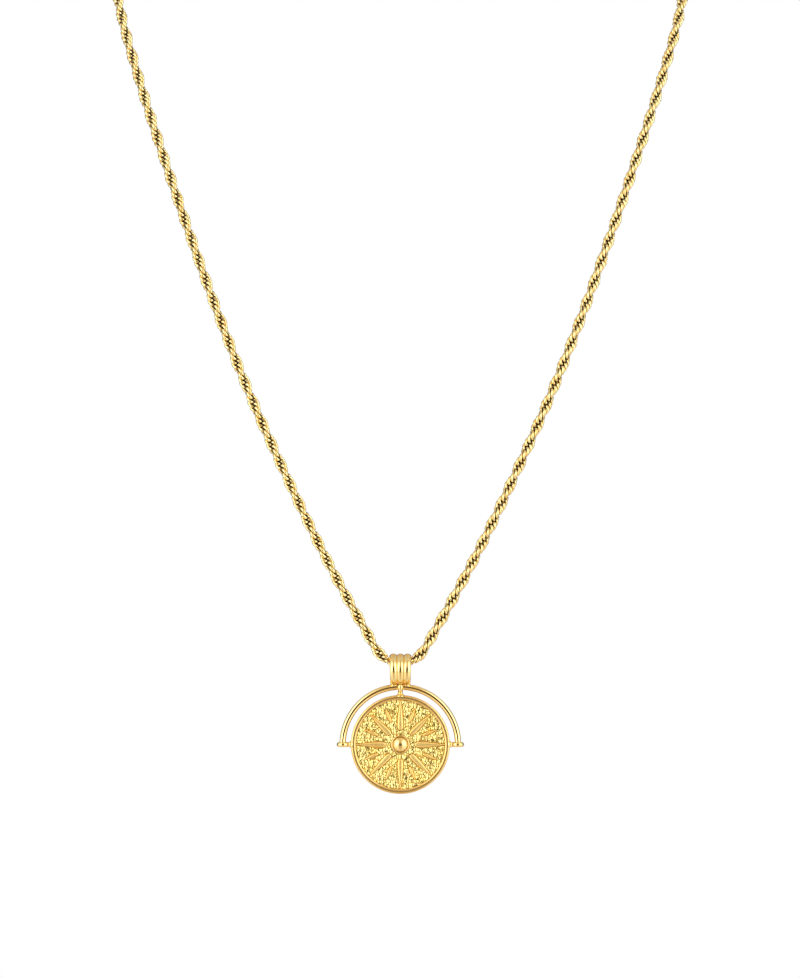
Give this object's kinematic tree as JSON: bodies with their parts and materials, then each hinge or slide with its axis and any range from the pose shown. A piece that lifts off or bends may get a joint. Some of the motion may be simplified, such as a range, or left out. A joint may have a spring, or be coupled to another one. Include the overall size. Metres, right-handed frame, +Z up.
{
  "type": "sun pendant necklace",
  "caption": "Gold rope chain necklace, a whole loop as worn, with a round cast sun medallion threaded on a half hoop of wire under a ribbed bail that swings on the chain",
  "frame": {"origin": "the point of the clasp that touches the nape of the neck, at the top of the loop", "axes": "+Z up, as worn; the pendant hangs at the front, towards -Y, and the sun faces -Y; X runs from the wearer's right shoulder, -X, to the left"},
  "size_m": [0.117, 0.0926, 0.1897],
  "materials": {
    "cast_gold": "gold plate, polished rim and rays on a granulated ground",
    "polished_gold": "gold plate, mirror polished",
    "rope_gold": "gold plate, polished wire links",
    "clasp_gold": "gold plate, polished"
  },
  "bodies": {
    "necklace": {"chain": "rope_gold", "clasp": "clasp_gold"},
    "pendant": {"medallion": "cast_gold", "bail_and_hoop": "polished_gold"}
  },
  "joints": [
    {"name": "pendant_swing", "type": "hinge", "parent": "necklace", "child": "pendant", "pos_m": [0, -0.0865, -0.1625], "axis": [1, 0, 0], "range_deg": [-90, 90]}
  ]
}
